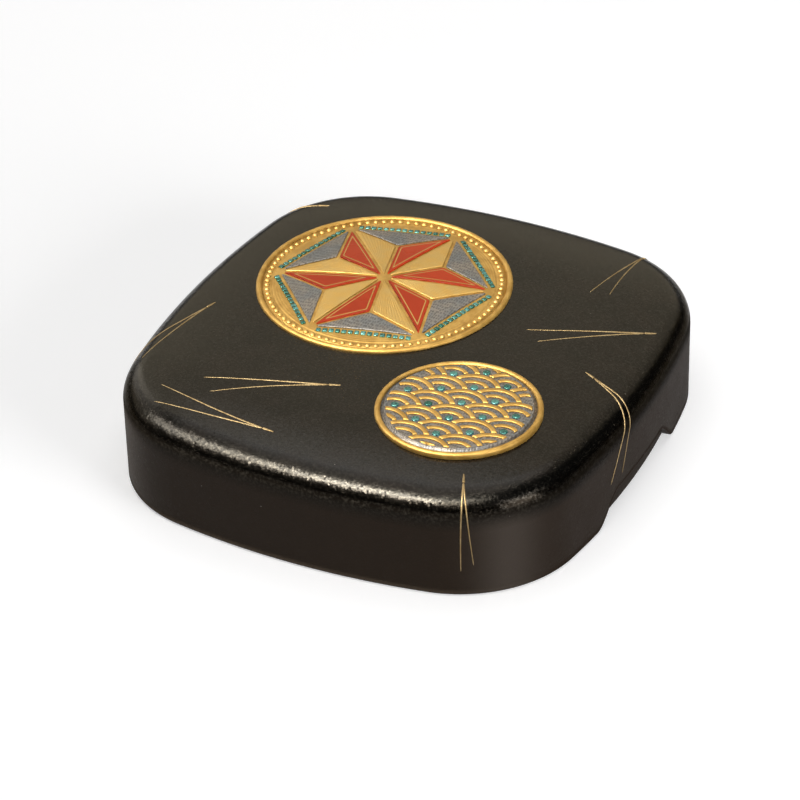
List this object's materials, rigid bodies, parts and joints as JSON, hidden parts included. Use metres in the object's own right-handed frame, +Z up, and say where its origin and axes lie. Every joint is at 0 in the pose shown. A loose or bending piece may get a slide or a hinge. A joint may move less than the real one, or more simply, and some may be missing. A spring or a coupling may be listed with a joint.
{
  "type": "lacquered incense box",
  "caption": "Low square lacquer incense box with swelling sides: a tray under a full-depth lift-off lid with finger notches, a soft shoulder and inlaid roundels.",
  "frame": {"origin": "middle of the tray's foot, on the table", "axes": "+Z up, the way the lid lifts; +X to the right along the front face; -Y towards the front face, so that +Y runs along the right face to the back"},
  "size_m": [0.077, 0.08, 0.0197],
  "materials": {
    "black_lacquer": "wood core under polished brown-black lacquer with a faint orange-peel surface",
    "tray_lacquer": "wood core under dark brown-black lacquer, with fine gold flecks on the inside",
    "gold": "burnished gold powder and foil",
    "pale_gold": "paler burnished gold foil",
    "vermilion_lacquer": "polished vermilion lacquer",
    "grey_metal": "dull grey sheet metal with a finely pitted face",
    "shell": "polished blue-green shell"
  },
  "bodies": {
    "tray": {"tray_wall": "tray_lacquer", "tray_floor": "tray_lacquer"},
    "lid": {"lid_top": "black_lacquer", "lid_wall": "black_lacquer", "star_rim": "gold", "star_ground": "gold", "star_vermilion_leaves": "vermilion_lacquer", "star_gold_leaves": "pale_gold", "star_grey_panels": "grey_metal", "star_shell_rows": "shell", "star_bead_ring": "pale_gold", "wave_rim": "gold", "wave_ground": "grey_metal", "wave_bands": "gold", "wave_shell_dots": "shell"}
  },
  "joints": [
    {"name": "lid_lift", "type": "slide", "parent": "tray", "child": "lid", "axis": [0, 0, 1], "range_m": [0, 0.03]}
  ]
}
